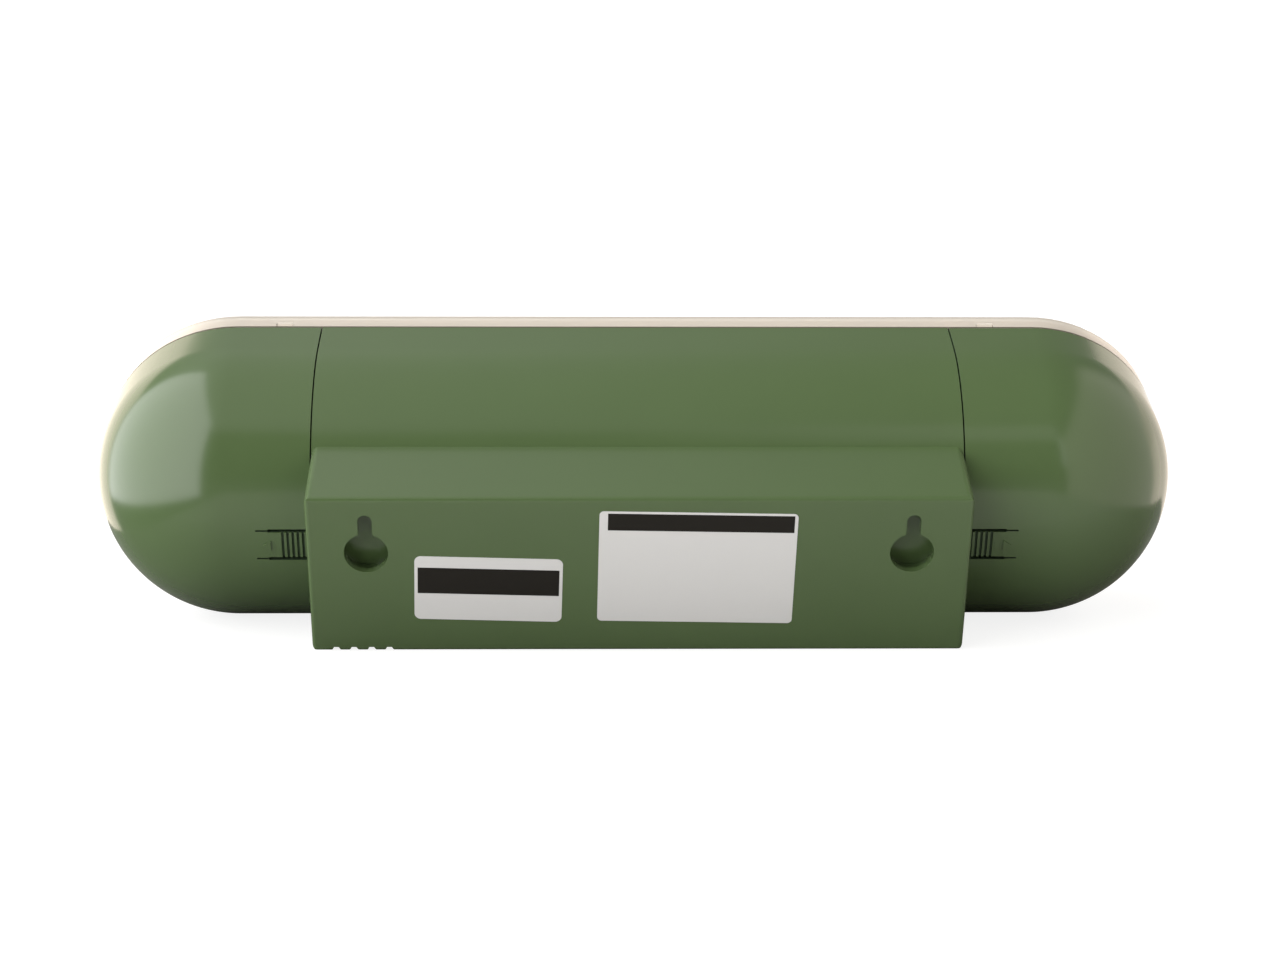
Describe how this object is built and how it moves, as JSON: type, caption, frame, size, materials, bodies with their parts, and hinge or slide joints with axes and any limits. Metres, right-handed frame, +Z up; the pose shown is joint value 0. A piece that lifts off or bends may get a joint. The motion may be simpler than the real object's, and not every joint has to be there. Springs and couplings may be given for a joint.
{
  "type": "flip clock",
  "caption": "Capsule-shaped desk or wall clock with a round analogue dial, a three-window flip calendar and a green moulded back with slide-off end covers.",
  "frame": {"origin": "bottom centre of the bounding box, on the desk that the clock rests on", "axes": "+X to the right seen from the front, +Y to the back, +Z up; the body leans back 18.4 degrees on its round belly and the lower edge of its rear box"},
  "size_m": [0.35, 0.1066, 0.0968],
  "materials": {
    "green": "satin",
    "clear": "gloss",
    "cream": "satin",
    "dial_print": "matte",
    "black_metal": "satin",
    "red_metal": "satin",
    "dark_plastic": "matte",
    "leaf_black": "matte",
    "natural_plastic": "satin",
    "grey_plastic": "matte",
    "steel": "satin",
    "brass": "satin",
    "blue_cell": "satin",
    "red_cell": "satin",
    "board": "satin"
  },
  "bodies": {
    "case": {"rear_case": "green", "front_lens": "clear", "face_frame": "cream", "dial": "dial_print", "dial_screws": "steel", "movement_case": "dark_plastic", "movement_nut": "brass", "clock_cell": "blue_cell", "clock_contacts": "steel", "chassis": "steel", "chassis_screws": "steel", "frame_screws": "steel", "calendar_axle": "steel", "motor": "steel", "motor_bracket": "steel", "lever_pins": "steel", "circuit_board": "board", "board_screws": "steel", "cell_tray": "dark_plastic", "calendar_cell": "red_cell", "cell_spring": "steel", "cell_plate": "steel", "switch_body": "dark_plastic"},
    "end_cover_left_body": {"end_cover_left": "green"},
    "end_cover_right_body": {"end_cover_right": "green"},
    "minute_hand_body": {"minute_hand": "black_metal"},
    "hour_hand_body": {"hour_hand": "black_metal"},
    "second_hand_body": {"second_hand": "red_metal"},
    "set_knob_body": {"set_knob": "grey_plastic"},
    "month_drum": {"month_spool": "dark_plastic", "month_leaves": "leaf_black"},
    "month_leaf": {"month_falling_leaf": "leaf_black"},
    "date_drum": {"date_spool": "dark_plastic", "date_leaves": "leaf_black"},
    "date_leaf": {"date_falling_leaf": "leaf_black"},
    "weekday_drum": {"weekday_spool": "dark_plastic", "weekday_leaves": "leaf_black", "weekday_gear": "natural_plastic"},
    "weekday_leaf": {"weekday_falling_leaf": "leaf_black"},
    "thumbwheel_body": {"thumbwheel": "natural_plastic"},
    "reduction_body": {"reduction_gear": "natural_plastic"},
    "motor_pinion_body": {"motor_pinion": "brass"},
    "month_lever_body": {"month_lever": "natural_plastic"},
    "date_lever_body": {"date_lever": "natural_plastic"},
    "switch_slider_body": {"switch_slider": "natural_plastic"}
  },
  "joints": [
    {"name": "end_cover_left_slide", "type": "slide", "parent": "case", "child": "end_cover_left_body", "axis": [-1, 0, 0], "range_m": [0, 0.08]},
    {"name": "end_cover_right_slide", "type": "slide", "parent": "case", "child": "end_cover_right_body", "axis": [1, 0, 0], "range_m": [0, 0.08]},
    {"name": "minute_turn", "type": "hinge", "parent": "case", "child": "minute_hand_body", "pos_m": [-0.129, -0.01605, 0.046], "axis": [0, 0.949, -0.3152], "continuous": true},
    {"name": "hour_turn", "type": "hinge", "parent": "case", "child": "hour_hand_body", "pos_m": [-0.129, -0.01605, 0.046], "axis": [0, 0.949, -0.3152], "continuous": true},
    {"name": "second_turn", "type": "hinge", "parent": "case", "child": "second_hand_body", "pos_m": [-0.129, -0.01605, 0.046], "axis": [0, 0.949, -0.3152], "continuous": true},
    {"name": "set_knob_turn", "type": "hinge", "parent": "case", "child": "set_knob_body", "pos_m": [-0.117, -0.01227, 0.05739], "axis": [0, 0.949, -0.3152], "continuous": true},
    {"name": "month_turn", "type": "hinge", "parent": "case", "child": "month_drum", "pos_m": [0, -0.00087, 0.04096], "axis": [1, 0, 0], "range_deg": [0, 15]},
    {"name": "month_leaf_fall", "type": "hinge", "parent": "month_drum", "child": "month_leaf", "pos_m": [0, -0.01113, 0.04593], "axis": [1, 0, 0], "range_deg": [0, 165]},
    {"name": "date_turn", "type": "hinge", "parent": "case", "child": "date_drum", "pos_m": [0, -0.00087, 0.04096], "axis": [1, 0, 0], "range_deg": [0, 11.61]},
    {"name": "date_leaf_fall", "type": "hinge", "parent": "date_drum", "child": "date_leaf", "pos_m": [0, -0.01127, 0.04563], "axis": [1, 0, 0], "range_deg": [0, 165]},
    {"name": "weekday_turn", "type": "hinge", "parent": "case", "child": "weekday_drum", "pos_m": [0, -0.00087, 0.04096], "axis": [1, 0, 0], "range_deg": [0, 12.86]},
    {"name": "weekday_leaf_fall", "type": "hinge", "parent": "weekday_drum", "child": "weekday_leaf", "pos_m": [0, -0.01122, 0.04574], "axis": [1, 0, 0], "range_deg": [0, 165]},
    {"name": "thumbwheel_turn", "type": "hinge", "parent": "case", "child": "thumbwheel_body", "pos_m": [0, -0.01054, 0.06808], "axis": [1, 0, 0], "range_deg": [-64.34, 0]},
    {"name": "reduction_turn", "type": "hinge", "parent": "case", "child": "reduction_body", "pos_m": [0, 0.02601, 0.02763], "axis": [1, 0, 0], "range_deg": [-51.48, 0]},
    {"name": "motor_turn", "type": "hinge", "parent": "case", "child": "motor_pinion_body", "pos_m": [0, 0.02989, 0.01376], "axis": [1, 0, 0], "range_deg": [0, 133.76]},
    {"name": "month_lever_lift", "type": "hinge", "parent": "case", "child": "month_lever_body", "pos_m": [0, 0.0159, 0.03117], "axis": [1, 0, 0], "range_deg": [0, 8], "stiffness_Nm_per_rad": 0.002, "springref_deg": -5.73},
    {"name": "date_lever_lift", "type": "hinge", "parent": "case", "child": "date_lever_body", "pos_m": [0, 0.0159, 0.03117], "axis": [1, 0, 0], "range_deg": [0, 8], "stiffness_Nm_per_rad": 0.002, "springref_deg": -5.73},
    {"name": "switch_slide", "type": "slide", "parent": "case", "child": "switch_slider_body", "axis": [1, 0, 0], "range_m": [-0.004, 0.004]}
  ],
  "couplings": [
    {"joint": "hour_turn", "follows": "minute_turn", "ratio": 0.083333},
    {"joint": "set_knob_turn", "follows": "minute_turn", "ratio": -1},
    {"joint": "thumbwheel_turn", "follows": "weekday_turn", "ratio": -5},
    {"joint": "reduction_turn", "follows": "weekday_turn", "ratio": -4},
    {"joint": "motor_turn", "follows": "weekday_turn", "ratio": 10.4}
  ]
}
